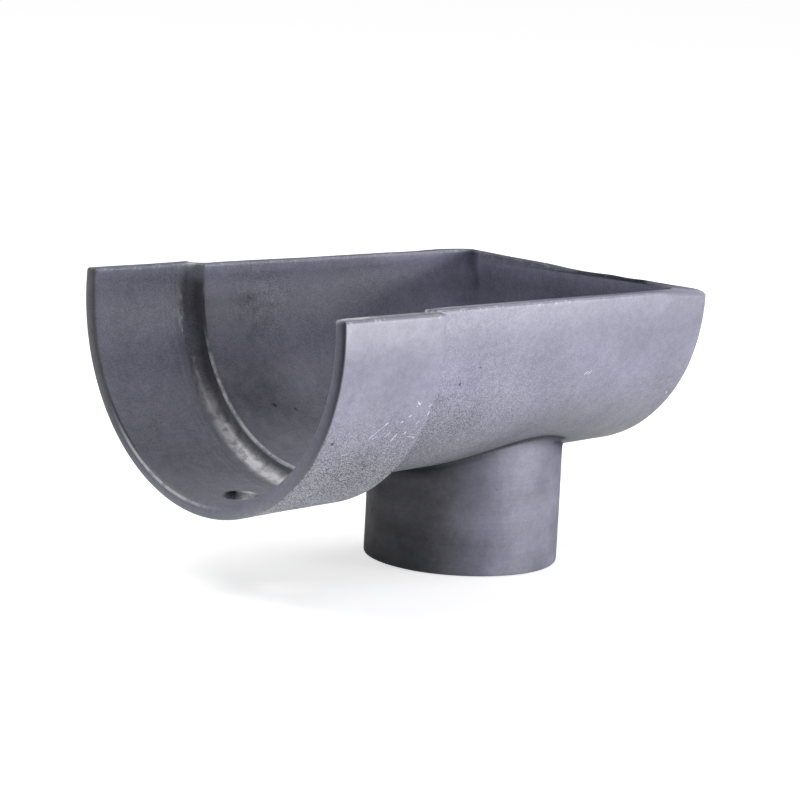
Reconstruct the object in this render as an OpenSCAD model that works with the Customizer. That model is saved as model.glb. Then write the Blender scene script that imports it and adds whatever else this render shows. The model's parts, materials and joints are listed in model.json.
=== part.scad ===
// Stop end outlet for a half-round gutter: one casting, in millimetres.
// The origin is on the outlet's axis at its lower end, +X points to the closed end and +Z up.

/* [Trough] */
// Inside radius of the trough
trough_bore_r = 57.8; // [50:0.1:75]
// Wall of the trough
trough_wall = 4.2; // [3:0.1:7]
// Length over all, along the lips
overall_len = 181; // [170:1:260]
// Depth of the section's centre below the lips at the open end
centre_drop = 7.6; // [6:0.1:12]
// Rise of the trough towards the closed end, in degrees
trough_rise = 1.6; // [0:0.1:1.8]
// Rounding of the lips' edges
lip_edge = 1.2; // [0.6:0.1:1.6]

/* [Socket] */
// Gap around a gutter laid in the socket
joint_gap = 1.8; // [1:0.1:4]
// Wall of the socket
socket_wall = 5.2; // [4:0.1:8]
// Length of the socket outside
socket_len = 44.5; // [35:0.5:60]
// Distance the shoulder stands back from the socket's outer end
shoulder_back = 0.5; // [0:0.1:3]
// Hollow fillet at the foot of the shoulder
shoulder_fillet = 4.5; // [2:0.1:5]
// Hollow fillet between the socket's outer end and the trough
root_fillet = 4.3; // [2:0.1:5]
// Rounding of the mouth, the step and the shoulder's edge
socket_edge = 0.9; // [0.5:0.1:1.5]

/* [Closed end] */
// Thickness of the end wall
end_wall = 5; // [4:0.1:8]
// Rounding of the end wall's outer edge
end_edge = 3.2; // [1.5:0.1:4]
// Hollow fillet between the end wall and the trough
end_fillet = 4; // [2:0.1:6]
// Depth of the end wall's rim below the lips
rim_drop = 1.6; // [0.5:0.1:4]

/* [Outlet] */
// Outside radius of the outlet
outlet_r = 35.6; // [28:0.1:40]
// Wall of the outlet
outlet_wall = 4; // [3:0.1:7]
// Distance from the outlet's axis to the closed end
outlet_from_end = 58; // [50:0.5:75]
// Length of the outlet below the sole
outlet_len = 38; // [25:0.5:60]
// Rounding of the outlet's lower edges
outlet_edge = 0.8; // [0.4:0.1:1.5]

/* [Bolt hole] */
// Diameter of the bolt hole in the socket's floor
bolt_hole_d = 11.3; // [6:0.1:14]
// Distance from the open end to the bolt hole
bolt_hole_x = 17.4; // [12:0.1:22]

/* [Hidden] */
iron_grey = [0.5, 0.5, 0.52];
round_fn = 120;
edge_fn = 32;
// How far a rounding's circle stands off the surface it blends into, so that the two cross cleanly
blend = 0.2;
// How far cutters and joined pieces reach past a face
over = 10;
// How deep joined rings reach into the wall behind them
bed = 2;
// How far the round bars start before the open end, which keeps their tilted ends clear of it
lead = 30;
rise = tan(trough_rise);
trough_r = trough_bore_r + trough_wall;
socket_bore_r = trough_r + joint_gap;
socket_r = socket_bore_r + socket_wall;
shoulder_x = socket_len - shoulder_back;
trough_start_x = shoulder_x / 2;
end_inner_x = overall_len - end_wall;
outlet_x = overall_len - outlet_from_end;
outlet_bore_r = outlet_r - outlet_wall;
sole_depth = trough_r / cos(trough_rise) + centre_drop - rise * outlet_x;
lip_z = sole_depth + outlet_len;
big = overall_len + socket_r;

// Depth of the section's centre below the lips, at a distance from the open end
function centre_depth(x) = centre_drop - rise * x;

// Half the width between two walls at the lips
function lip_half(r, x) = sqrt(r * r - pow(centre_depth(x), 2));

// Places a piece that was drawn from the open end and the lip plane
module from_open_end() {
    translate([-outlet_x, 0, lip_z])
        children();
}

// A long round bar on the trough's rising axis, between two upright planes
module rising_bar(r, x0, x1) {
    intersection() {
        translate([0, 0, -centre_drop])
            rotate([0, 90 - trough_rise, 0])
                translate([0, 0, -lead])
                    cylinder(h = big + lead, r = r, $fn = round_fn);
        translate([x0, -big, -big])
            cube([x1 - x0, 2 * big, 2 * big]);
    }
}

// A ring about a level axis through the section's centre at x
module level_ring(x) {
    translate([x, 0, -centre_depth(x)])
        rotate([0, 90, 0])
            rotate_extrude($fn = round_fn)
                children();
}

// What a rounding takes off a bar's end at x: side 1 rounds the far end, side -1 the near end
module end_rounding(r, x, edge, side) {
    level_ring(x)
        difference() {
            translate([r - edge, side > 0 ? -edge : -over])
                square([edge + over, edge + over]);
            translate([r - edge + blend, -side * edge])
                circle(edge, $fn = edge_fn);
        }
}

// A hollow fillet that fills the corner between an upright face at x and a bar beyond it
module corner_fill(r, x, fillet) {
    level_ring(x)
        difference() {
            translate([r - bed, -bed])
                square([fillet + bed - blend, fillet + bed]);
            translate([r + fillet - blend, fillet])
                circle(fillet, $fn = edge_fn);
        }
}

// Outside of the casting above the outlet, before the lips are cut
module outer_form() {
    difference() {
        rising_bar(socket_r, 0, socket_len);
        end_rounding(socket_r, 0, socket_edge, -1);
        end_rounding(socket_r, socket_len, socket_edge, 1);
    }
    difference() {
        rising_bar(trough_r, trough_start_x, overall_len);
        end_rounding(trough_r, overall_len, end_edge, 1);
    }
    corner_fill(trough_r, socket_len, root_fillet);
}

// Space inside the socket and the trough
module inner_space() {
    difference() {
        rising_bar(socket_bore_r, -over, shoulder_x);
        end_rounding(socket_bore_r, shoulder_x, shoulder_fillet, 1);
    }
    difference() {
        rising_bar(trough_bore_r, trough_start_x, end_inner_x);
        end_rounding(trough_bore_r, end_inner_x, end_fillet, 1);
    }
    corner_fill(trough_bore_r, shoulder_x, socket_edge);
}

// The outlet pipe's outside, with its lower edge rounded
module outlet_pipe() {
    rotate_extrude($fn = round_fn) {
        translate([0, outlet_edge])
            square([outlet_r, lip_z - centre_drop - outlet_edge]);
        square([outlet_r - outlet_edge, outlet_edge]);
        translate([outlet_r - outlet_edge, outlet_edge])
            circle(outlet_edge, $fn = edge_fn);
    }
}

// Lowers the end wall's rim between the two lips
module rim_cut() {
    half = lip_half(trough_bore_r, end_inner_x);
    translate([end_inner_x - bed, -half, -rim_drop])
        cube([end_wall + bed + over, 2 * half, over]);
}

// Takes an edge off a lip: r is the wall's surface, out is 1 for an outer edge and -1 for an inner one
module lip_rounding(r, x0, x1, out) {
    y0 = lip_half(r, x0);
    y1 = lip_half(r, x1);
    for (side = [-1, 1])
        translate([x0, side * y0, 0])
            rotate([0, 0, side * atan2(y1 - y0, x1 - x0)])
                rotate([90, 0, 90])
                    linear_extrude(norm([x1 - x0, y1 - y0]))
                        difference() {
                            translate([side * out > 0 ? -lip_edge : -over, -lip_edge])
                                square([lip_edge + over, lip_edge + over]);
                            translate([side * out * (blend - lip_edge), -lip_edge])
                                circle(lip_edge, $fn = edge_fn);
                        }
}

module outlet_casting() {
    color(iron_grey)
        difference() {
            union() {
                from_open_end()
                    outer_form();
                outlet_pipe();
            }
            from_open_end()
                inner_space();
            translate([0, 0, -over])
                cylinder(h = lip_z, r = outlet_bore_r, $fn = round_fn);
            translate([bolt_hole_x - outlet_x, 0, 0])
                cylinder(h = lip_z, d = bolt_hole_d, $fn = edge_fn);
            translate([-big, -big, lip_z])
                cube([2 * big, 2 * big, big]);
            from_open_end() {
                rim_cut();
                lip_rounding(socket_r, -over, socket_len, 1);
                lip_rounding(trough_r, socket_len + root_fillet, overall_len + over, 1);
                lip_rounding(socket_bore_r, -over, shoulder_x - shoulder_fillet, -1);
                lip_rounding(trough_bore_r, shoulder_x + socket_edge, end_inner_x - end_fillet, -1);
            }
        }
}

outlet_casting();
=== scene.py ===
# %% [markdown]
# # A cast gutter outlet, dressed for a product picture
# The part is one iron casting: a half-round trough with a wider socket at one end, a wall across the
# other end and a pipe below. The CAD model gives its true sizes. Here the same casting is modelled again
# with the soft edges, fillets and slightly uneven walls that sand casting leaves. Then it is painted, lit
# and photographed.

# %% Load the frame
import bpy
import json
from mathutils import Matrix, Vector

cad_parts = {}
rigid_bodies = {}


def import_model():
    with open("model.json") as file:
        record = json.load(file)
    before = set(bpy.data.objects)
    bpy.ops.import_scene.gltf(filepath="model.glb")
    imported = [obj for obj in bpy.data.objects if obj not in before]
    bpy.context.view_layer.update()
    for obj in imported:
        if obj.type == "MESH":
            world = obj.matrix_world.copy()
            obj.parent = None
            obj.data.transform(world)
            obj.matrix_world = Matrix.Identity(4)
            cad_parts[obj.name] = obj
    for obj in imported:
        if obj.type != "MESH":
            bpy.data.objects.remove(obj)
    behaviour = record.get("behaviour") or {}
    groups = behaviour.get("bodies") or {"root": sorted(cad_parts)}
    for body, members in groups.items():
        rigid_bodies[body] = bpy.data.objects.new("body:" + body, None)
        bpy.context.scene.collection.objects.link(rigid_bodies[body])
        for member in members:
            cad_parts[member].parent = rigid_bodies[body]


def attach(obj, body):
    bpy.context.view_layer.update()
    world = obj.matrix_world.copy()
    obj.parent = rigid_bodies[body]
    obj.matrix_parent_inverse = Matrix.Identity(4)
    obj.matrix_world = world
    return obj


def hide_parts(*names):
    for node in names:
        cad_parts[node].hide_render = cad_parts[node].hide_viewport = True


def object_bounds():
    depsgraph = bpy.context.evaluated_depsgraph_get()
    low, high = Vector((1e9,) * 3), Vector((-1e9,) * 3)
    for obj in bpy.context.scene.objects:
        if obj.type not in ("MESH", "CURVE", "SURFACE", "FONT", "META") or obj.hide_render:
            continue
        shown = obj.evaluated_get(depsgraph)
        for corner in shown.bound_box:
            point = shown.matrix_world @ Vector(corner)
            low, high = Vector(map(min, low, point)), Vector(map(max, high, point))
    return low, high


for thing in list(bpy.data.objects):
    bpy.data.objects.remove(thing)
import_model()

import json
from math import asin, atan2, cos, hypot, pi, radians, sin, sqrt, tan

import bmesh
from mathutils import Matrix, Vector, noise

cad_low, cad_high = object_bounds()
print("CAD box in mm:", [round(1000 * v, 1) for v in (*cad_low, *cad_high)])

# %% [markdown]
# ## The sizes
# Everything is in metres, as the frame is. The names follow the parts of the casting. The trough's
# section is a circle whose centre lies a little below the lips and rises towards the closed end, so that
# the outside tapers as the photographed casting does.

# %% Name the sizes
MM = 0.001
CLOSE = 0.001 * MM
LIP_Z = cad_high.z
OPEN_X = cad_low.x
CLOSED_X = cad_high.x
LENGTH = CLOSED_X - OPEN_X
TROUGH_BORE = 57.8 * MM
TROUGH_R = 62.0 * MM
SOCKET_BORE = 63.8 * MM
SOCKET_R = 69.0 * MM
SOCKET_LENGTH = 44.5 * MM
SHOULDER_X = 44.0 * MM
END_WALL = 5.0 * MM
CENTRE_DROP = 7.6 * MM
RISE = tan(radians(1.6))
OUTLET_R = 35.6 * MM
OUTLET_BORE = 31.6 * MM
BOLT_X = OPEN_X + 17.4 * MM
BOLT_R = 5.65 * MM
print("lips at", round(LIP_Z / MM, 2), "mm, length", round(LENGTH / MM, 2), "mm")


def centre_depth(x):
    """Depth of the section's centre below the lips, at a distance x from the open end."""
    return CENTRE_DROP - RISE * x


def below_centre(co):
    """How far a point lies below the section's centre."""
    return LIP_Z - centre_depth(co[0] - OPEN_X) - co[2]


# %% [markdown]
# ## The wall's section
# A shell is easiest to make from the line that runs round its wall. The corners of that line are drawn
# sharp first, and a vertex bevel rounds each one by its own radius, just as a pattern maker rounds the
# edges of a mould. The line starts near the edge of the end wall's outer face, runs along the outside to
# the open mouth and back along the inside.

# %% Draw the section line
FLAT = 1.5 * MM
END_EDGE = 3.0 * MM
END_FILLET = 4.0 * MM
ROOT_FILLET = 4.3 * MM
SHOULDER_FILLET = 4.4 * MM
ARC_STEPS = 6
# Each corner: distance from the open end, distance from the axis, rounding
SECTION = [
    (LENGTH, TROUGH_R - END_EDGE - FLAT, 0),
    (LENGTH, TROUGH_R, END_EDGE),
    (SOCKET_LENGTH, TROUGH_R, ROOT_FILLET),
    (SOCKET_LENGTH, SOCKET_R, 0.7 * MM),
    (0, SOCKET_R, 1.0 * MM),
    (0, SOCKET_BORE, 1.2 * MM),
    (SHOULDER_X, SOCKET_BORE, SHOULDER_FILLET),
    (SHOULDER_X, TROUGH_BORE, 1.2 * MM),
    (LENGTH - END_WALL, TROUGH_BORE, END_FILLET),
    (LENGTH - END_WALL, TROUGH_BORE - END_FILLET - FLAT, 0),
]

shell = bmesh.new()
corners = [bmesh.ops.create_vert(shell, co=(x, r, 0))["vert"][0] for x, r, _ in SECTION]
for a, b in zip(corners, corners[1:]):
    shell.edges.new((a, b))
for corner, (_, _, rounding) in zip(corners, SECTION):
    if rounding:
        bmesh.ops.bevel(shell, geom=[corner], offset=rounding, offset_type="OFFSET", segments=ARC_STEPS,
                        profile=0.5, affect="VERTICES", material=-1)
print("section:", len(shell.verts), "points,", len(shell.edges), "edges")

# %% [markdown]
# The straight runs are cut into short pieces, so that the walls can later carry their unevenness. A run
# outside and the run inside it get the same number of cuts, which lets the lips be bridged with neat
# four-sided faces.

# %% Cut the straight runs
for edge in list(shell.edges):
    length = edge.calc_length()
    if length > 30 * MM:
        bmesh.ops.subdivide_edges(shell, edges=[edge], cuts=56 if length > 100 * MM else 17)
print("section cut into", len(shell.edges), "edges")

# %% [markdown]
# ## Turning the section into a trough
# The line is spun half a turn about the trough's axis. The lips aren't at the height of the axis, though,
# and the axis rises, so each ring is then stretched along its own circle until both of its ends lie in
# the plane of the lips.

# %% Spin the section
STEPS = 128
bmesh.ops.spin(shell, geom=shell.verts[:] + shell.edges[:], cent=(0, 0, 0), axis=(1, 0, 0), angle=-pi,
               steps=STEPS, use_duplicate=False)
for vert in shell.verts:
    x, y, z = vert.co
    r, drop = hypot(y, z), centre_depth(x)
    start = -asin(drop / r)
    angle = start + (pi - 2 * start) * abs(atan2(-z, y)) / pi
    vert.co = (OPEN_X + x, r * cos(angle), LIP_Z - drop - r * sin(angle))
print("spun:", len(shell.verts), "vertices,", len(shell.faces), "faces")

# %% [markdown]
# ## Closing the lips
# The spun wall is open along its top. On each side, the edge that runs outside and the edge that runs
# inside are joined by a strip of faces, as the two edges of a ribbon are. At the socket's step the two
# runs don't match, and the slanted edges there are dissolved.

# %% Bridge the lips
def in_lip_plane(edge):
    """True for an open edge whose two ends lie at the height of the lips."""
    return edge.is_boundary and all(abs(v.co.z - LIP_Z) < CLOSE for v in edge.verts)


for side in (1, -1):
    chains = [e for e in shell.edges if in_lip_plane(e) and e.verts[0].co.y * side > 0
              and any(v.co.x > OPEN_X + CLOSE for v in e.verts)]
    strip = bmesh.ops.bridge_loops(shell, edges=chains)["faces"]
    slanted = {e for f in strip for e in f.edges if all(g in strip for g in e.link_faces)
               and all(abs(v.co.x - OPEN_X - SOCKET_LENGTH) < 4.8 * MM for v in e.verts)}
    bmesh.ops.dissolve_edges(shell, edges=list(slanted))
    print("lip strip:", len(strip), "faces,", len(slanted), "slanted edges dissolved at the step")

# %% [markdown]
# ## Closing the end
# The end wall's rim is drawn from lip to lip, once outside and once inside, and bridged in the same way.
# Each of the wall's flat faces is then one fill, with a level cut below the rim that leaves room for a
# soft edge.

# %% Fill the end wall
rims = []
for x in (CLOSED_X, CLOSED_X - END_WALL):
    ends = [v for v in shell.verts if abs(v.co.x - x) < CLOSE and abs(v.co.z - LIP_Z) < CLOSE
            and any(e.is_boundary for e in v.link_edges)]
    line = bmesh.ops.contextual_create(shell, geom=ends)["edges"]
    cut = bmesh.ops.subdivide_edges(shell, edges=line, cuts=47)
    rims += [g for g in cut["geom_inner"] + cut["geom_split"] if isinstance(g, bmesh.types.BMEdge)]
bmesh.ops.bridge_loops(shell, edges=list(set(rims)))
flats = bmesh.ops.holes_fill(shell, edges=[e for e in shell.edges if e.is_boundary], sides=0)["faces"]
bmesh.ops.bisect_plane(shell, geom=flats + list({e for f in flats for e in f.edges}), plane_no=(0, 0, 1),
                       plane_co=(0, 0, LIP_Z - 5 * MM))
bmesh.ops.recalc_face_normals(shell, faces=shell.faces[:])
print("flats:", len(flats), "open edges left:", sum(e.is_boundary for e in shell.edges))

# %% [markdown]
# ## Edges that sag
# Moulded edges are never quite straight. The lips sink towards the closed end, and the end wall's rim has
# a long hollow in the middle and a short one beside it. The far lip stands a little proud beyond the
# shoulder and dips before the closed end. The near lip is higher along its inner edge, and its outer
# corner at the closed end is worn down. Points just below an edge follow it part of the way.

# %% Let the edges sag
def hollow(place, centre, half):
    """A soft bell of height 1 that reaches half to either side of its centre."""
    return max(0.0, 1 - ((place - centre) / half) ** 2) ** 2


def share_of(value):
    """A value kept between 0 and 1."""
    return max(0.0, min(1.0, value))


def near_lip(x, y, from_axis):
    """The near lip's sag in mm: its inner edge is higher, but not at the mouth or at the shoulder."""
    bore = SOCKET_BORE if x < OPEN_X + SHOULDER_X else TROUGH_BORE
    inwards = 1 - share_of((from_axis - bore) / (4 * MM))
    inwards *= 1 - hollow(x, OPEN_X + SHOULDER_X, 9 * MM) - hollow(x, OPEN_X, 5 * MM)
    return 0.2 * hollow(x, CLOSED_X, 6 * MM) * hollow(y, -62 * MM, 8 * MM) - 0.3 * inwards


def sag(x, y):
    """How far the top edge lies below the plane of the lips at a place on the plan."""
    towards_end = max(0.0, 1 - (CLOSED_X - x) / (26 * MM))
    rim = 0.6 * hollow(y, 0, 21 * MM) + 0.3 * hollow(y, -22 * MM, 9 * MM)
    lip = 0.2 * hollow(x, 24 * MM, 14 * MM) - 0.3 * hollow(x, -62 * MM, 40 * MM) - 0.3 * towards_end
    if y < 0:
        lip = near_lip(x, y, hypot(y, centre_depth(x - OPEN_X)))
    corner_wear = 1.2 * hollow(x, CLOSED_X - 10 * MM, 20 * MM) * share_of((-y - 57 * MM) / (5 * MM))
    wave = 0.3 + 0.1 * noise.noise((30 * x, 30 * y, 2))
    at_lip = hollow(abs(y), 64 * MM, 26 * MM)
    return MM * max(0.0, towards_end ** 2 + rim + lip * at_lip + corner_wear + wave)


for vert in shell.verts:
    vert.co.z -= sag(vert.co.x, vert.co.y) * max(0.0, 1 - (LIP_Z - vert.co.z) / (6 * MM))
print("deepest place of the rim:", round(sag(CLOSED_X, 6 * MM) / MM, 1), "mm below the lips")

# %% [markdown]
# ## Filled corners
# The end wall's inner face meets the lips in corners that the mould filled with metal, most of all on the
# near side. The points of the inside are drawn diagonally out of each corner, the less the further they
# lie from it.

# %% Fill the inner corners
for side, amount, reach in ((-1, 7.0 * MM, 30 * MM), (1, 1.4 * MM, 9 * MM)):
    corner = Vector((CLOSED_X - END_WALL, side * TROUGH_BORE, LIP_Z))
    for vert in shell.verts:
        off_axis = hypot(vert.co.y, below_centre(vert.co))
        if off_axis < TROUGH_BORE + 1 * MM and vert.co.x < CLOSED_X - END_WALL / 2:
            share = max(0.0, 1 - (vert.co - corner).length / reach) ** 2
            vert.co += amount * share * Vector((-1, -side, 0)).normalized()
    print("corner fill:", round(amount / MM, 1), "mm over", round(reach / MM), "mm")

# %% [markdown]
# ## Openings in the wall
# The outlet pipe and the bolt hole both pass through the curved floor. For each, the faces round an
# upright axis are taken out of the wall, the jagged edge that is left is drawn onto a circle, and that
# circle is extruded inwards over the wall's own surface. Every new point gets the height of the wall at
# its place, so no dent shows around an opening.

# %% Helpers for openings
def on_wall(vert, r):
    """True for points of the round wall of radius r, away from its fillets."""
    off_axis = hypot(vert.co.y, below_centre(vert.co))
    return vert.co.z < LIP_Z - 0.4 * r and abs(off_axis - r) < 0.02 * MM


def onto_circle(verts, x, radius, r):
    """Moves points to a circle round the upright axis at x, and onto the wall of radius r."""
    for vert in verts:
        flat = Vector((vert.co.x - x, vert.co.y)).normalized() * radius
        vert.co.x, vert.co.y = x + flat.x, flat.y
        vert.co.z = LIP_Z - centre_depth(vert.co.x - OPEN_X) - sqrt(r * r - vert.co.y * vert.co.y)


def next_ring(bm, ring):
    """Extrudes a ring of edges and returns the new edges and their points."""
    new = bmesh.ops.extrude_edge_only(bm, edges=ring)["geom"]
    verts = [g for g in new if isinstance(g, bmesh.types.BMVert)]
    edges = [g for g in new if isinstance(g, bmesh.types.BMEdge) and all(v in verts for v in g.verts)]
    return edges, verts


def open_wall(bm, x, radius, margin, r):
    """Cuts a round opening into the wall of radius r and returns its edge."""
    reach = radius + margin
    faces = [f for f in bm.faces if all(on_wall(v, r) for v in f.verts)
             and any(hypot(v.co.x - x, v.co.y) < reach for v in f.verts)]
    bmesh.ops.delete(bm, geom=faces, context="FACES")
    ring = [e for e in bm.edges if e.is_boundary and all(on_wall(v, r) for v in e.verts)
            and all(hypot(v.co.x - x, v.co.y) < 1.5 * reach for v in e.verts)]
    onto_circle({v for e in ring for v in e.verts}, x, reach, r)
    for share in (0.5, 0):
        ring, verts = next_ring(bm, ring)
        onto_circle(verts, x, radius + share * margin, r)
    return ring


print("points of the trough's outer wall:", sum(on_wall(v, TROUGH_R) for v in shell.verts))

# %% [markdown]
# ## The outlet pipe
# The pipe's outside grows from the opening in the trough's outer face and its bore from the opening in
# the inner face. Both end on the floor, where a flat ring joins them. The cast fillet under the trough is
# a bevel of the edge where pipe and trough meet: on an inward corner a bevel adds metal instead of taking
# it off.

# %% Make the outlet
EDGE_BEVEL = dict(offset_type="OFFSET", segments=5, profile=0.5, affect="EDGES", material=-1,
                  clamp_overlap=False)
PIPE_BANDS = 14


def pipe_down(bm, ring):
    """Extrudes a ring straight down to the pipe's lower end and cuts the wall into bands."""
    foot, verts = next_ring(bm, ring)
    for vert in verts:
        vert.co.z = 0
    upright = [e for v in verts for e in v.link_edges if e not in foot]
    bmesh.ops.subdivide_edges(bm, edges=upright, cuts=PIPE_BANDS, use_grid_fill=True)
    return [e for e in bm.edges if e.is_boundary and all(abs(v.co.z) < CLOSE for v in e.verts)]


root = open_wall(shell, 0, OUTLET_R, 5.2 * MM, TROUGH_R)
pipe_down(shell, root)
rim = open_wall(shell, 0, OUTLET_BORE, 3.6 * MM, TROUGH_BORE)
feet = pipe_down(shell, rim)
bmesh.ops.bridge_loops(shell, edges=feet)
print("outlet rings:", len(root), "outside,", len(rim), "inside,", len(feet), "edges at the foot")

# %% Round the outlet's edges
def at_foot(edge, radius):
    """True for an edge of the pipe's lower end at a radius."""
    return all(abs(v.co.z) < CLOSE and abs(hypot(v.co.x, v.co.y) - radius) < 0.01 * MM for v in edge.verts)


outer_foot = [e for e in shell.edges if at_foot(e, OUTLET_R)]
inner_foot = [e for e in shell.edges if at_foot(e, OUTLET_BORE)]
bmesh.ops.recalc_face_normals(shell, faces=shell.faces[:])
for edges, size in ((root, 1.3 * MM), (rim, 1.4 * MM), (outer_foot, 0.9 * MM), (inner_foot, 0.6 * MM)):
    bmesh.ops.bevel(shell, geom=edges, offset=size, **EDGE_BEVEL)
print("open edges left:", sum(e.is_boundary for e in shell.edges), "faces:", len(shell.faces))

# %% [markdown]
# ## The bolt hole
# A bolt through the socket's floor holds the next gutter. The hole is made in the same way, and its two
# edges are joined by its short wall.

# %% Make the bolt hole
hole_top = open_wall(shell, BOLT_X, BOLT_R, 3.0 * MM, SOCKET_BORE)
hole_foot = open_wall(shell, BOLT_X, BOLT_R, 3.0 * MM, SOCKET_R)
bmesh.ops.bridge_loops(shell, edges=hole_top + hole_foot)
bmesh.ops.recalc_face_normals(shell, faces=shell.faces[:])
bmesh.ops.bevel(shell, geom=hole_top + hole_foot, offset=0.6 * MM, **EDGE_BEVEL)
print("open edges left:", sum(e.is_boundary for e in shell.edges), "faces:", len(shell.faces))

# %% [markdown]
# ## Soft lips
# The long edges of the lips are rounded last, with one bevel that runs along both sides, across the mouth
# and along the end wall's rim. Points that the bevel leaves closer together than a hair are merged.

# %% Round the lips
LIP_EDGE = 0.9 * MM
shell.normal_update()
lip_faces = [f for f in shell.faces if all(v.co.z > LIP_Z - 3 * MM for v in f.verts) and f.normal.z > 0.9]
lip_edges = [e for e in shell.edges if len([f for f in e.link_faces if f in lip_faces]) == 1]
print("lip edges:", len(lip_edges))
bmesh.ops.bevel(shell, geom=lip_edges, offset=LIP_EDGE, **EDGE_BEVEL)
bmesh.ops.remove_doubles(shell, verts=shell.verts[:], dist=0.06 * MM)
bmesh.ops.recalc_face_normals(shell, faces=shell.faces[:])
print("casting:", len(shell.faces), "faces, volume", round(shell.calc_volume() / MM**3 / 1000, 1), "cm3")

# %% [markdown]
# ## Uneven walls
# Sand gives way a little when iron is poured. Two layers of smooth noise, one broad and one fine, push
# the surface in along its own normals. The push is never outwards, so the casting stays inside the box of
# the CAD model. It fades out at the lips and is weak at the mouth, whose edges are thin.

# %% Push the walls in unevenly
BROAD, FINE = 0.13 * MM, 0.05 * MM
shell.normal_update()
for vert in shell.verts:
    broad = BROAD * (1 + noise.noise(vert.co * 35))
    fine = FINE * (1 + noise.noise(vert.co * 120 + Vector((7, 0, 0))))
    below_lip = min(1.0, (LIP_Z - vert.co.z) / (4 * MM))
    from_mouth = 0.25 + 0.75 * min(1.0, (vert.co.x - OPEN_X) / (12 * MM))
    vert.co -= vert.normal * (broad + fine) * below_lip * from_mouth
print("deepest push:", round(2 * (BROAD + FINE) / MM, 2), "mm")

# %% [markdown]
# ## From working mesh to object
# The finished mesh becomes an object that replaces the plain CAD casting. It rides on the same body.

# %% Make the object
mesh = bpy.data.meshes.new("casting")
shell.to_mesh(mesh)
shell.free()
mesh.shade_smooth()
casting = bpy.data.objects.new("casting", mesh)
bpy.context.scene.collection.objects.link(casting)
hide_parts("outlet_casting")
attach(casting, "root")
mesh.calc_loop_triangles()
print("triangles:", len(mesh.loop_triangles))

# %% [markdown]
# ## Where a point lies
# The paint isn't the same everywhere, so each point of the mesh will carry soft masks. They tell the
# material where it is coarse, worn, pale or dark. Every mask needs to know where its point lies on the
# casting, so that is worked out once, in millimetres. The angle around the section is 0 at the near side,
# 90 at the bottom and 180 at the far side.

# %% Describe a place
def ramp(value, low, high):
    """Rises smoothly from 0 at low to 1 at high."""
    share = share_of((value - low) / (high - low))
    return share * share * (3 - 2 * share)


def diagonal(x, y):
    """How far a place lies towards the near closed corner, which is to the right in the picture."""
    return 0.73 * x - 0.68 * y


class Spot:
    """A place on the casting, in mm, and how much it belongs to each of its surfaces."""

    def __init__(self, co):
        self.x, self.y, self.z = (v / MM for v in co)
        self.near, self.far = self.y < 0, self.y > 0
        self.depth = (LIP_Z - co[2]) / MM
        self.from_mouth = (co[0] - OPEN_X) / MM
        self.from_shoulder = (co[0] - OPEN_X - SHOULDER_X) / MM
        self.from_end = (CLOSED_X - co[0]) / MM
        self.in_socket = self.from_shoulder < 0
        self.off_axis = hypot(co[1], below_centre(co)) / MM
        self.around = (atan2(below_centre(co), -co[1]) * 180 / pi + 90) % 360 - 90
        self.off_pipe = hypot(self.x, self.y) - OUTLET_R / MM
        self.off_bore = self.off_axis - (SOCKET_BORE if self.in_socket else TROUGH_BORE) / MM
        self.off_skin = self.off_axis - (SOCKET_R if self.in_socket else TROUGH_R) / MM
        self.inside = self.off_bore < 0.6
        self.outside = ramp(self.off_skin, -1.5, -0.7)
        self.pipe = ramp(self.off_skin, 0.1, 0.8) * (not self.in_socket) * (self.off_pipe < 2)
        self.mouth = ramp(self.from_mouth, 0.9, 0.3)
        self.lip = ramp(sag(co[0], co[1]) / MM - self.depth, -1.6, -0.6)
        self.fillet = ramp(abs(self.from_shoulder + 3), 4.5, 3) * (1 - self.outside)
        self.patch = hollow(hypot(self.x + 52, self.z - 90), 0, 19) * self.inside * self.far
        self.over_hole = diagonal(self.x - BOLT_X / MM, self.y)
        self.in_hole = hypot(self.x - BOLT_X / MM, self.y) < BOLT_R / MM + 1.2

    def bell(self, x, y, z, reach):
        """A soft spot round a place."""
        return hollow((Vector((self.x, self.y, self.z)) - Vector((x, y, z))).length, 0, reach)

    def lumps(self, level, upright):
        """Smooth noise between about -1 and 1, with its own fineness on the level and upright."""
        return noise.noise((level * self.x, level * self.y, upright * self.z))


under_socket = Spot((OPEN_X + SOCKET_LENGTH / 2, 0, LIP_Z - CENTRE_DROP - SOCKET_R))
far_fillet = Spot((OPEN_X + SHOULDER_X - 3 * MM, 60 * MM, LIP_Z - 20 * MM))
print("angles under the socket and on the far fillet:", round(under_socket.around), round(far_fillet.around))

# %% [markdown]
# ## Coarse skin, wear and painted highlights
# The sand left its grain on the lower half of the outside, most of all on the socket, and little on the
# pipe. A patch on the far inner wall is rough too. Pale bare-metal colour is painted in as highlights: on
# the fillet's foot and the shoulder's edge inside, on the lit half of the bolt hole, as a glint on one
# corner of the far lip and along the near lip's inner edge. The lips' pale chips partly stand for glints
# too. The mouth's face is worn in rings, with a painted highlight line along its inner edge, and the
# socket's bore shows rings before the shoulder.

# %% Masks for grain, wear and painted highlights
def grain_at(p):
    """How coarse the skin is."""
    strong = 1.4 if p.in_socket else 0.25 + 0.75 * ramp(p.x, 10, -75)
    low = ramp(p.depth, 24, 60) if p.in_socket else 0.15 + 0.85 * ramp(p.depth, 8, 50)
    skin = p.outside * (1 - p.pipe) * (1 - p.mouth)
    return 0.15 + strong * low * skin + 0.2 * p.inside + 0.4 * p.patch


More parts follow.
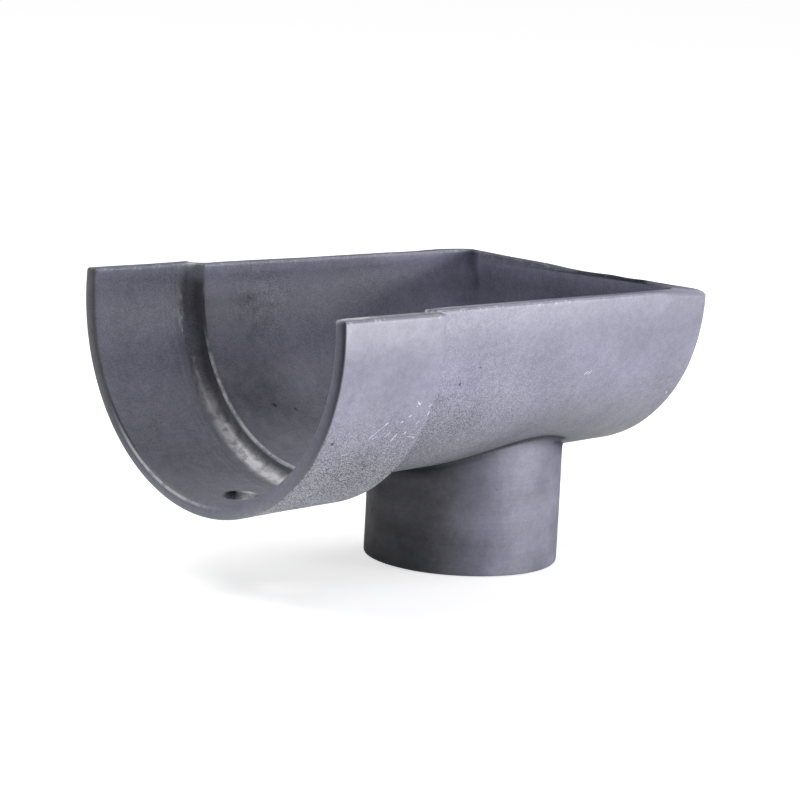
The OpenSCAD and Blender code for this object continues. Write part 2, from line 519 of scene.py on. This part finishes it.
def painted_highlight_at(p):
    """How strongly pale bare-metal colour is painted in as a highlight."""
    # Every part of this mask is a painted highlight: the fillet's foot, the shoulder's edge, the lit half of
    # the bolt hole, a glint on the far lip's corner and one along the near lip's inner edge.
    band = 1.2 * hollow(p.from_shoulder, -3.2, 4.2) * p.inside
    band *= ramp(p.around, 152, 128) * (0.45 + 0.55 * ramp(p.around, 132, 108))
    off_trough = p.off_axis - TROUGH_BORE / MM
    step = 0.8 * hollow(p.from_shoulder, 0.3, 0.9) * (off_trough < 1.6) * ramp(p.around, 168, 145)
    hole = p.in_hole * hollow(p.over_hole, 2, 4.2)
    far_corner_glint = p.bell((OPEN_X + SHOULDER_X) / MM - 1.8, 63, LIP_Z / MM, 2.6)
    edge = 0.6 * hollow(p.off_bore, 0.6, 2) * ramp(p.x, -10, -60)
    edge += 2 * hollow(p.off_bore, 0.4, 2.6) * hollow(p.from_mouth, 8.5, 9)
    return min(1.0, band + step + hole + far_corner_glint) + edge * p.lip * p.near


def chips_and_glints_at(p):
    """Where the lips get pale chips, which partly stand for glints: least on the near lip towards the closed
    end.
    """
    return p.lip * (1 - 0.7 * p.near * ramp(p.x, -20, 10))


def worn_and_glint_at(p):
    """The worn stretch of the mouth's face, on the far side and at the bottom, which also carries the
    painted highlight line.
    """
    return p.mouth * (1.2 * hollow(p.around, 114, 32) + 0.3 * hollow(p.around, 92, 20))


def turned_at(p):
    """The rings in the socket's bore."""
    return p.in_socket * p.inside * hollow(p.from_shoulder, -10, 9)


print("grain under the socket:", round(grain_at(under_socket), 2))

# %% [markdown]
# ## Painted light and shade
# The tone is a factor for the paint's colour. Most of it is painted light and shade, and the rest is random
# unevenness of the paint. Each surface has its own. The pipe is darker and spotted, painted lighter
# towards the near closed corner, where the window lights it, with a painted highlight strip. The mouth's
# face is pale towards the bottom and dark on the far side, with a painted highlight at the bore's edge near
# the top. The outside is painted lighter under the socket, and painted shade darkens it round the pipe's
# root.

# %% Painted light and shade of the pipe, the mouth and the outside
def pipe_shading(p):
    """The pipe: across runs from -1 at its left in the picture to 1 at its right."""
    across = diagonal(p.x, p.y) / (OUTLET_R / MM)
    # Painted light and shade: lighter towards the right, where the window lights the pipe, a painted
    # highlight strip, a lighter patch at the top right and a lit left edge, a darker strip and a darker edge
    # at the right, and darker overall. The lumps are random spots.
    tone_and_shading = 0.14 * p.lumps(0.05, 0.12) + 0.07 * p.lumps(0.12, 0.24) + 0.12 * across - 0.32
    tone_and_shading += 0.1 * hollow(across, 0.45, 0.3) - 0.12 * hollow(across, 0.8, 0.3)
    tone_and_shading += 0.15 * ramp(across, -0.85, -1.0) - 0.2 * ramp(across, 0.85, 1.0)
    tone_and_shading += 0.14 * hollow(across, 0.5, 0.4) * ramp(p.z, 26, 36)
    return p.pipe * tone_and_shading


def mouth_shading(p):
    """The mouth's face: across runs from 0 at the bore to 1 at the outside."""
    across = p.off_bore / ((SOCKET_R - SOCKET_BORE) / MM)
    # Near the top of the near side, a painted highlight runs along the bore's edge and the face gets darker
    # towards the outside. Elsewhere the face is made pale towards the bottom and dark on the far side.
    tone_and_shading = (0.22 - 0.95 * across) * ramp(p.around, 45, 15) + 0.2 * ramp(p.around, 20, 45)
    tone_and_shading += 0.4 * across * hollow(p.around, 62, 22) + 0.02 * hollow(p.around, 90, 40)
    tone_and_shading += 0.4 * ramp(across, 0.5, 0.95) * ramp(p.around, 50, 75)
    tone_and_shading -= 0.56 * ramp(p.around, 95, 145) + 0.08 * ramp(p.around, 80, 100)
    return p.mouth * tone_and_shading


def outside_shading(p):
    """The trough's and the socket's outside, down to the crease at the pipe's root."""
    # Painted light and shade: lighter under the socket and at mid height, darker towards the closed end, low
    # on the near side towards the open end and near the top at the closed end, and painted shade round the
    # pipe's root and in the crease where it meets the trough.
    tone_and_shading = 0.74 * hollow(p.around, 88, 40) * ramp(p.from_mouth, 60, 25) * (1 - p.mouth)
    tone_and_shading += 0.22 * hollow(p.around, 61, 26) * p.in_socket * (1 - p.mouth)
    tone_and_shading += 0.1 * hollow(p.depth, 30, 20) - 0.1 * ramp(p.x, 10, 45)
    tone_and_shading -= 0.09 * hollow(p.around, 45, 20) * ramp(p.x, 20, -20) * (1 - p.pipe)
    tone_and_shading -= 0.06 * hollow(p.from_end, 0, 30) * ramp(p.depth, 20, 4)
    tone_and_shading -= 0.3 * hollow(p.off_pipe, 0, 18) * (1 - p.pipe)
    off_trough = p.off_axis - TROUGH_R / MM
    tone_and_shading -= 0.45 * hollow(p.off_pipe, 0.8, 2.4) * ramp(off_trough, 4, 1) * ramp(p.x, 30, 15)
    return p.outside * tone_and_shading


print("tone under the socket:", round(1 + outside_shading(under_socket), 2))

# %% [markdown]
# Inside, painted shade darkens the lower far wall towards the open end, the end wall and the far wall next
# to the shoulder, and painted light brightens the inside towards the closed end and the far wall's top.
# The corner between the far wall and the end wall has a painted dark crease with a pale lump beside it.
# The shoulder's fillet is painted darkest on the far side, and one half of the bolt hole dark. The near
# lip is painted pale, and the end wall's rim dark.

# %% Painted light and shade of the inside, the fillet and the lips
def inside_shading(p):
    """The inner walls and the floor."""
    # Painted light and shade: lighter towards the closed end, at the top of the far wall and a little below
    # it, darker low on the far side towards the open end, on the end wall's face, next to the shoulder, in
    # the far corner's crease and in a spot near the closed end. The lumps and the rough patch are random
    # tone.
    tone_and_shading = 0.25 * ramp(p.from_end, CLOSED_X / MM, 0) - 0.1 * p.patch
    tone_and_shading -= 0.36 * hollow(p.around, 125, 45) * ramp(p.x, 20, -30)
    tone_and_shading += (0.08 + 0.4 * p.patch) * p.lumps(0.28, 0.28)
    tone_and_shading -= ramp(p.from_end, 8, 5) * (0.34 + 0.2 * ramp(p.y, 10, -40))
    crease = hypot(p.x - 53, p.y - 56 + 3 * ramp(p.depth, 4, 12))
    tone_and_shading -= 0.6 * hollow(crease, 0, 3.6) * ramp(p.depth, 22, 8)
    tone_and_shading += 0.25 * p.bell(53, 50, 95.6, 5)
    if not p.in_socket:
        next_to_shoulder = ramp(p.x, -40, -60) * ramp(p.around, 105, 150)
        tone_and_shading -= 0.3 * next_to_shoulder * ramp(p.depth, 7, 14)
        tone_and_shading += p.far * (0.22 * ramp(p.depth, 14, 8) + 0.15 * ramp(p.x, -10, 35))
    tone_and_shading -= 0.2 * p.far * hollow(hypot(p.x - 44, p.z - 92), 0, 10)
    tone_and_shading += 0.12 * p.far * ramp(p.depth, 12, 28) * ramp(p.around, 130, 150)
    return p.inside * tone_and_shading


def fillet_shading(p):
    """The fillet at the shoulder, and the dark half of the bolt hole."""
    # Painted shade: the fillet is darkest on the far side but lighter near its top, where light reaches in,
    # and the bolt hole's unlit half is dark.
    top = ramp(p.depth, 8, 2.5)
    tone_and_shading = p.fillet * ramp(p.around, 128, 152) * (0.4 * top - 0.34)
    tone_and_shading -= 0.3 * p.fillet * hollow(p.from_shoulder, 0, 2) * (1 - top)
    return tone_and_shading - 0.85 * p.in_hole * hollow(p.over_hole, -3, 4.5)


def lip_shading(p):
    """The lips' flat tops and the end wall's rim."""
    # Painted light and shade: the near lip's top and the end wall's top at the near corner are lighter, and
    # the end wall's rim and the far lip towards the closed end are darker.
    flat = p.lip * ramp(p.off_skin, -0.5, -1.2)
    tone_and_shading = 0.12 * flat * p.near * (1 - p.mouth) + 0.5 * flat * hollow(p.from_end, 0, 26) * (p.y < -35)
    tone_and_shading -= 0.65 * p.lip * (abs(p.y) < 52) * (p.x > 40)
    return tone_and_shading - 0.4 * p.lip * (p.y > 52) * ramp(p.x, 10, 40)


print("tone of the far fillet:", round(1 + fillet_shading(far_fillet), 2))

# %% [markdown]
# ## Masks on the mesh
# A greyer tint takes the violet out of the paint on the underside, on the floor inside, on the far part of
# the mouth's face, in the fillet and on the pipe's side towards the open end. It is partly dust and partly
# painted sheen: the white floor's reflection on the underside and the fillet's highlight. All masks are
# stored on the mesh's points, under the names that the material asks for.

# %% Store the masks
MASKS = ("grain", "lip", "fillet", "painted_highlight", "tone_and_shading", "dust_and_sheen", "pipe", "worn_and_glint", "turned")


def dust_and_sheen_at(p):
    """How much greyer tint is painted in: dust, and painted sheen on the underside and in the fillet."""
    dust_and_sheen = p.outside * (1 - p.pipe) * ramp(p.depth, 20, 66) + 0.7 * p.inside * hollow(p.around, 95, 45)
    return max(dust_and_sheen, p.mouth * ramp(p.around, 120, 160), 0.6 * p.fillet, p.pipe * ramp(p.x, -20, -34))


def masks(co):
    """All masks at a place, in the order of their names."""
    p = Spot(co)
    tone_and_shading = 1 + pipe_shading(p) + mouth_shading(p) + outside_shading(p) + inside_shading(p) + fillet_shading(p) + lip_shading(p)
    lumpy = p.fillet * ramp(p.depth, 3, 14) + 0.6 * p.patch
    wear = (worn_and_glint_at(p), turned_at(p))
    return grain_at(p), chips_and_glints_at(p), lumpy, painted_highlight_at(p), tone_and_shading, dust_and_sheen_at(p), p.pipe, *wear


for name, values in zip(MASKS, zip(*(masks(vert.co) for vert in mesh.vertices))):
    layer = mesh.attributes.new(name, "FLOAT", "POINT")
    layer.data.foreach_set("value", values)
    print("mask", name, "from", round(min(values), 2), "to", round(max(values), 2))

# %% [markdown]
# ## Grey primer on iron
# The paint is one material. Short helper functions keep its nodes readable: put adds a node with its
# settings, and the ones after it are sums that are used again and again.

# %% Start the primer
primer = bpy.data.materials.new("grey primer")
primer.use_nodes = True
tree = primer.node_tree
shader = tree.nodes["Principled BSDF"]
print("primer starts with", len(tree.nodes), "nodes")


def put(tree, kind, sockets=None, **settings):
    """Adds a node. Sockets gives each named input a value, or the output to link to it."""
    made = tree.nodes.new("ShaderNode" + kind)
    for name, value in settings.items():
        setattr(made, name, value)
    for name, value in (sockets or {}).items():
        if isinstance(value, bpy.types.NodeSocket):
            tree.links.new(value, made.inputs[name])
        else:
            made.inputs[name].default_value = value
    return made


def calc(tree, operation, first, second=0.0):
    """One sum of two values."""
    return put(tree, "Math", {0: first, 1: second}, operation=operation).outputs[0]


def plus(tree, first, second):
    """Adds two values."""
    return calc(tree, "ADD", first, second)


def times(tree, first, second):
    """Multiplies two values."""
    return calc(tree, "MULTIPLY", first, second)


def vector_calc(tree, operation, first, second, out=0):
    """One sum of two vectors. Output 1 is its value, where it has one."""
    return put(tree, "VectorMath", {0: first, 1: second}, operation=operation).outputs[out]


# %% Read the place and the masks
place = put(tree, "TexCoord").outputs["Object"]
fields = {name: put(tree, "Attribute", attribute_name=name).outputs["Fac"] for name in MASKS}
grain, lip, fillet, painted_highlight, tone_and_shading, dust_and_sheen, pipe, worn_and_glint, turned = fields.values()
print("masks read:", ", ".join(fields))


def texture(tree, place, scale, detail=2.0, rough=0.5):
    """Noise between about 0.2 and 0.8 with features about 1 / scale metres wide."""
    sockets = {"Vector": place, "Scale": scale, "Detail": detail, "Roughness": rough}
    return put(tree, "TexNoise", sockets).outputs[0]


def between(tree, value, low, high, first=0.0, last=1.0):
    """Maps low to high smoothly onto first to last."""
    sockets = {"Value": value, "From Min": low, "From Max": high, "To Min": first, "To Max": last}
    return put(tree, "MapRange", sockets, interpolation_type="SMOOTHSTEP").outputs[0]


def cloud(tree, place, scale, detail, rough, first, last):
    """Noise whose usual values are spread from first to last."""
    return between(tree, texture(tree, place, scale, detail, rough), 0.3, 0.7, first, last)


def clamp(tree, value):
    """A value kept between 0 and 1."""
    return put(tree, "Clamp", {"Value": value}).outputs[0]


def blend(tree, share, below, above):
    """Mixes two colours."""
    mix = put(tree, "Mix", data_type="RGBA")
    for socket, value in zip([mix.inputs[0], mix.inputs[6], mix.inputs[7]], (share, below, above)):
        if isinstance(value, bpy.types.NodeSocket):
            tree.links.new(value, socket)
        else:
            socket.default_value = value
    return mix.outputs[2]


# %% [markdown]
# ## Scratches
# A scratch is the part of the surface that lies close to a line between two places. The casting has
# several, so the sum is made once, as a node group. It looks along Y, so its places are given as X and Z.

# %% The scratch group
scratch = bpy.data.node_groups.new("scratch", "ShaderNodeTree")
for name, kind in (("Place", "Vector"), ("From", "Vector"), ("To", "Vector"), ("Half width", "Float")):
    scratch.interface.new_socket(name, in_out="INPUT", socket_type="NodeSocket" + kind)
scratch.interface.new_socket("Mask", in_out="OUTPUT", socket_type="NodeSocketFloat")
given = scratch.nodes.new("NodeGroupInput")
result = scratch.nodes.new("NodeGroupOutput")

flat_place = vector_calc(scratch, "MULTIPLY", given.outputs["Place"], (1, 0, 1))
reach = vector_calc(scratch, "SUBTRACT", flat_place, given.outputs["From"])
run = vector_calc(scratch, "SUBTRACT", given.outputs["To"], given.outputs["From"])
reach_along_run = vector_calc(scratch, "DOT_PRODUCT", reach, run, 1)
run_squared = vector_calc(scratch, "DOT_PRODUCT", run, run, 1)
along = clamp(scratch, calc(scratch, "DIVIDE", reach_along_run, run_squared))
foot = put(scratch, "VectorMath", {0: run, "Scale": along}, operation="SCALE").outputs[0]
gap = vector_calc(scratch, "DISTANCE", reach, foot, 1)
mask = between(scratch, calc(scratch, "DIVIDE", gap, given.outputs["Half width"]), 1.0, 0.4)
scratch.links.new(mask, result.inputs["Mask"])
print("scratch group:", len(scratch.nodes), "nodes")

# %% [markdown]
# ## The primer's relief
# The relief adds up sand grain, orange peel and broad lumps, all in metres. Grain and peel follow the
# grain mask. The fillet inside and the rough patch get knots of their own, which break up the light that
# they catch. Where gas met the mould, a few pits go in.

# %% Primer: relief
SAND_DEPTH, PEEL_DEPTH, LUMP_DEPTH, KNOT_DEPTH = 0.13 * MM, 0.15 * MM, 0.45 * MM, 0.4 * MM
sand = times(tree, texture(tree, place, 1700, 2, 0.6), grain)
peel = times(tree, texture(tree, place, 420, 2), grain)
knots = times(tree, texture(tree, place, 210, 2), fillet)
relief = times(tree, sand, SAND_DEPTH)
relief = plus(tree, relief, times(tree, peel, PEEL_DEPTH))
relief = plus(tree, relief, times(tree, texture(tree, place, 75, 3), LUMP_DEPTH))
relief = plus(tree, relief, times(tree, knots, KNOT_DEPTH))
print("relief nodes:", len(tree.nodes))

# %% Primer: pits
PIT_DEPTH = 0.5 * MM
# Each pit: its centre and its radius, in mm
PITS = [
    (-59.9, 37.8, 54.6, 1.0), (-51.9, 35.4, 52.9, 0.8), (-118.3, -59.9, 62.4, 0.9),
    (-61.0, -58.3, 77.3, 0.7), (-53.5, -59.5, 83.0, 0.5), (-33.4, 12.3, 18.0, 0.8),
    (-14.8, -32.4, 31.8, 0.35), (30.0, -55.0, 76.0, 0.5), (20.0, 61.0, 70.0, 0.8),
    (58.0, 20.0, 70.0, 0.8), (58.0, -22.0, 58.0, 0.6), (-95.0, 66.0, 75.0, 0.7),
]
pits = None
for x, y, z, radius in PITS:
    gap = vector_calc(tree, "DISTANCE", place, (x * MM, y * MM, z * MM), 1)
    pit = between(tree, gap, radius * MM, 0.4 * radius * MM)
    pits = calc(tree, "MAXIMUM", pits, pit) if pits else pit
relief = calc(tree, "SUBTRACT", relief, times(tree, pits, PIT_DEPTH))
bump = put(tree, "Bump", {"Height": relief, "Distance": 1.0, "Strength": 1.0}).outputs[0]
tree.links.new(bump, shader.inputs["Normal"])
print("pits:", len(PITS))

# %% [markdown]
# ## The primer's colour
# The colour is a grey with a touch of violet, which the greyer tint of dust and painted sheen takes out.
# It is mottled and blotched, speckled where the grain is coarse, and painted darker in the pits as their
# shade. Fine level streaks run round the pipe, and rings round the socket's bore and the mouth's worn
# face. They are noise stretched along one direction, or read at the distance from the mouth's centre.

# %% Primer: paint
PAINT = (0.235, 0.231, 0.31, 1)
DUST_AND_SHEEN_GREY = (0.244, 0.247, 0.274, 1)
mottle = cloud(tree, place, 38, 4, 0.6, 0.9, 1.08)
blotch = cloud(tree, place, 330, 3, 0.6, -0.07, 0.07)
speckle = cloud(tree, place, 1900, 1, 0.6, -0.48, 0.48)
shade = plus(tree, plus(tree, mottle, blotch), times(tree, speckle, grain))
# The pits are painted darker: painted shade in their hollows.
shade = times(tree, shade, calc(tree, "SUBTRACT", 1.0, times(tree, pits, 0.55)))

streaks = cloud(tree, vector_calc(tree, "MULTIPLY", place, (40, 40, 1100)), 1, 2, 0.5, -0.03, 0.03)
rings = cloud(tree, vector_calc(tree, "MULTIPLY", place, (800, 30, 30)), 1, 3, 0.5, -0.12, 0.12)
mouth_r = vector_calc(tree, "DISTANCE", place, (OPEN_X, 0, LIP_Z - CENTRE_DROP), 1)
lines = cloud(tree, mouth_r, 1500, 2, 0.5, -0.2, 0.2)
for pattern, where in ((streaks, pipe), (rings, turned), (lines, worn_and_glint)):
    shade = plus(tree, shade, times(tree, pattern, where))
# The tone multiplies the paint. This is where the painted light and shade go in.
shade = times(tree, shade, tone_and_shading)

dust_and_sheen_share = clamp(tree, plus(tree, dust_and_sheen, cloud(tree, place, 60, 3, 0.5, -0.15, 0.15)))
# The greyer tint, partly dust and partly painted sheen.
tint = blend(tree, dust_and_sheen_share, PAINT, DUST_AND_SHEEN_GREY)
paint = put(tree, "VectorMath", {0: tint, "Scale": shade}, operation="SCALE").outputs[0]
print("paint nodes:", len(tree.nodes))

# %% [markdown]
# ## Wear and painted highlights in the paint
# On top of the paint lie pale chips along the lips, which partly stand for glints, pale flecks in the
# coarse skin, bare-metal colour as painted highlights, the scratches and a thin bare-metal line painted as
# the highlight round the mouth's worn face.

# %% Primer: chips, flecks and painted highlights
PALE = (0.62, 0.61, 0.64, 1)
BARE_AND_GLINT = (0.8, 0.8, 0.82, 1)
# Pale chips on the lips, which partly stand for glints on their edges.
chips_and_glints = between(tree, texture(tree, place, 620, 3, 0.65), 0.56, 0.64)
paint = blend(tree, times(tree, times(tree, chips_and_glints, lip), 0.45), paint, PALE)
flecks = between(tree, texture(tree, place, 1000, 2, 0.6), 0.66, 0.72)
coarse = clamp(tree, times(tree, calc(tree, "SUBTRACT", grain, 0.6), 0.6))
paint = blend(tree, times(tree, flecks, coarse), paint, PALE)
patches = between(tree, texture(tree, place, 260, 3, 0.6), 0.34, 0.56, 0.4, 1.0)
# Painted highlights in bare-metal colour, broken into patches.
paint = blend(tree, times(tree, patches, painted_highlight), paint, BARE_AND_GLINT)
print("colours with wear:", len(tree.nodes), "nodes")

# %% Primer: scratches
# Each scratch: its two ends as X and Z, and half its width, in mm
SCRATCHES = [
    ((-102.2, 63.0), (-97.4, 67.4), 0.13), ((-100.4, 62.6), (-99.2, 63.4), 0.16),
    ((-97.2, 67.6), (-96.6, 68.1), 0.25), ((-95.2, 62.8), (-93.6, 64.6), 0.14),
    ((-91.3, 60.8), (-90.0, 63.6), 0.22), ((-90.6, 67.7), (-89.9, 68.1), 0.25),
    ((-87.9, 69.5), (-87.2, 69.9), 0.25), ((-86.7, 63.3), (-86.2, 63.9), 0.25),
    ((-86.1, 74.8), (-84.6, 73.4), 0.16), ((-85.9, 73.0), (-84.4, 74.6), 0.2),
    ((-85.8, 74.1), (-84.2, 74.2), 0.14), ((-84.4, 61.9), (-80.9, 61.3), 0.13),
    ((-83.2, 66.4), (-82.2, 67.4), 0.14), ((-80.2, 72.6), (-79.6, 73.1), 0.25),
    ((-79.5, 69.2), (-79.3, 70.6), 0.2), ((0.4, 76.0), (1.8, 77.1), 0.16),
    ((2.1, 76.0), (3.5, 77.1), 0.13), ((51.6, 64.9), (53.0, 63.7), 0.13),
]
NEAR_Y = -40 * MM
scratched = None
for start, end, half in SCRATCHES:
    node = put(tree, "Group", node_tree=scratch)
    tree.links.new(place, node.inputs["Place"])
    node.inputs["From"].default_value = (start[0] * MM, 0, start[1] * MM)
    node.inputs["To"].default_value = (end[0] * MM, 0, end[1] * MM)
    node.inputs["Half width"].default_value = half * MM
    scratched = calc(tree, "MAXIMUM", scratched, node.outputs[0]) if scratched else node.outputs[0]
near_side = calc(tree, "LESS_THAN", put(tree, "SeparateXYZ", {0: place}).outputs["Y"], NEAR_Y)
broken = between(tree, texture(tree, place, 1300, 1), 0.36, 0.46)
paint = blend(tree, times(tree, times(tree, scratched, near_side), broken), paint, BARE_AND_GLINT)
print("scratches:", len(SCRATCHES))

# %% Primer: the mouth's painted highlight line
GLINT_LINE_R = 65.0 * MM
off_line = calc(tree, "ABSOLUTE", calc(tree, "SUBTRACT", mouth_r, GLINT_LINE_R))
# A thin line of bare-metal colour at the edge of the mouth's bore, painted as a highlight.
line = times(tree, between(tree, off_line, 0.8 * MM, 0.25 * MM), worn_and_glint)
paint = blend(tree, times(tree, line, patches), paint, BARE_AND_GLINT)
tree.links.new(paint, shader.inputs["Base Color"])
print("bare line at a radius of", round(GLINT_LINE_R / MM, 1), "mm")

# %% [markdown]
# ## The primer's shine
# The primer is satin in the fillet and on the rough patch, duller elsewhere and dullest on the pipe and
# in coarse skin. Where the tone is very dark, mostly painted shade, the paint's shine is turned down.

# %% Primer: shine
gloss = plus(tree, between(tree, fillet, 0.0, 1.0, 0.4, 0.22), times(tree, pipe, 0.15))
tree.links.new(plus(tree, gloss, times(tree, grain, 0.12)), shader.inputs["Roughness"])
tree.links.new(between(tree, tone_and_shading, 0.3, 0.75, 0.0, 0.5), shader.inputs["Specular IOR Level"])
mesh.materials.append(primer)
print("primer nodes:", len(tree.nodes))

# %% [markdown]
# ## Floor
# The casting stands on white paper that glows a little. To the camera it glows more, and most far away
# from the casting. That takes the paper to white, while the shadow beside the outlet can still be seen.

# %% Floor
FLOOR_HALF = 30
bm = bmesh.new()
bmesh.ops.create_grid(bm, x_segments=1, y_segments=1, size=FLOOR_HALF)
floor_mesh = bpy.data.meshes.new("floor")
bm.to_mesh(floor_mesh)
bm.free()
floor = bpy.data.objects.new("floor", floor_mesh)
bpy.context.scene.collection.objects.link(floor)
print("floor:", floor.dimensions[:2])

# %% White paper
GLOW = 0.075
SEEN_NEAR, SEEN_FAR = 0.66, 0.97
paper = bpy.data.materials.new("white paper")
paper.use_nodes = True
tree = paper.node_tree
paper_shader = tree.nodes["Principled BSDF"]
paper_shader.inputs["Base Color"].default_value = (0.8, 0.8, 0.8, 1)
paper_shader.inputs["Roughness"].default_value = 0.9
paper_shader.inputs["Emission Color"].default_value = (1, 1, 1, 1)
away = vector_calc(tree, "LENGTH", put(tree, "TexCoord").outputs["Object"], (0, 0, 0), 1)
seen_glow = between(tree, away, 0.3, 2.2, SEEN_NEAR, SEEN_FAR)
seen = put(tree, "LightPath").outputs["Is Camera Ray"]
glow = put(tree, "MapRange", {"Value": seen, "To Min": GLOW, "To Max": seen_glow}).outputs["Result"]
tree.links.new(glow, paper_shader.inputs["Emission Strength"])
floor_mesh.materials.append(paper)
print("paper glows", GLOW, "and to the camera", SEEN_NEAR, "to", SEEN_FAR)

# %% [markdown]
# ## Light
# The room is white to the camera and gives almost no light. A low strip of window to the right of the
# camera lights the near side, with a weaker one above it. It hardly reaches over the near lip, so the
# inside stays dark. A soft box overhead, beyond the open end, draws the highlights on the fillet inside.
# Weak lamps in front and behind fill the shadows, and a wide lamp beyond the closed end lays the soft
# shadow to the left of the outlet.

# %% The room
world = bpy.data.worlds.new("studio")
world.use_nodes = True
tree = world.node_tree
background = tree.nodes["Background"]
background.inputs["Color"].default_value = (1, 1, 1, 1)
seen = put(tree, "LightPath").outputs["Is Camera Ray"]
strength = put(tree, "MapRange", {"Value": seen, "To Min": 0.01, "To Max": 1.0}).outputs["Result"]
tree.links.new(strength, background.inputs["Strength"])
bpy.context.scene.world = world
print("world:", world.name)

# %% Lamps
CENTRE = Vector((-0.03, 0, 0.06))
LAMP_DISTANCE = 2


def soft_lamp(name, azimuth, elevation, wide, high, watts):
    """A soft box at an azimuth from the near side towards the closed end and an elevation, in degrees."""
    turn, lift = radians(azimuth), radians(elevation)
    towards = Vector((sin(turn) * cos(lift), -cos(turn) * cos(lift), sin(lift)))
    data = bpy.data.lights.new(name, "AREA")
    data.shape = "RECTANGLE"
    data.size, data.size_y = wide, high
    data.energy = watts
    lamp = bpy.data.objects.new(name, data)
    lamp.location = CENTRE + LAMP_DISTANCE * towards
    lamp.rotation_euler = (-towards).to_track_quat("-Z", "Y").to_euler()
    bpy.context.scene.collection.objects.link(lamp)


soft_lamp("window", 27, 0.6, 0.6, 0.18, 34)
soft_lamp("window top", 42, 10, 0.6, 0.3, 8.5)
soft_lamp("overhead", 250, 60, 1.0, 1.0, 15.5)
soft_lamp("front fill", 20, 55, 1.0, 1.0, 7.5)
soft_lamp("back fill", 180, 60, 1.0, 1.0, 6.5)
soft_lamp("end lamp", 92, 32, 1.5, 1.1, 12)

# %% [markdown]
# ## Camera
# The camera looks at the open end from the near side, a little from above, as in the photograph. Its
# turn, its tilt and its lens were found by matching the casting's outlines. It leans a little to one
# side, so its own right and up are worked out first. The lens is given in picture widths, as the outlines
# were measured on a picture of 800 pixels.

# %% Camera
YAW, PITCH, ROLL = radians(42.95), radians(9.90), radians(-2.89)
LOOK_AT = Vector((-0.03376, 0, 0.06048))
CAMERA_DISTANCE = 1.0174
SENSOR = 36
FOCAL_WIDTHS = 2855 / 800
ahead = Vector((sin(YAW) * cos(PITCH), cos(YAW) * cos(PITCH), -sin(PITCH)))
right = Vector((cos(YAW), -sin(YAW), 0))
down = ahead.cross(right)
image_right = cos(ROLL) * right + sin(ROLL) * down
image_up = sin(ROLL) * right - cos(ROLL) * down
camera_data = bpy.data.cameras.new("camera")
camera_data.sensor_width = SENSOR
camera_data.lens = FOCAL_WIDTHS * SENSOR
camera = bpy.data.objects.new("camera", camera_data)
turned_camera = Matrix((image_right, image_up, -ahead)).transposed().to_4x4()
camera.matrix_world = Matrix.Translation(LOOK_AT - CAMERA_DISTANCE * ahead) @ turned_camera
bpy.context.scene.collection.objects.link(camera)
bpy.context.scene.camera = camera
bpy.context.scene.view_settings.view_transform = "Standard"
print("lens:", round(camera_data.lens, 1), "mm")
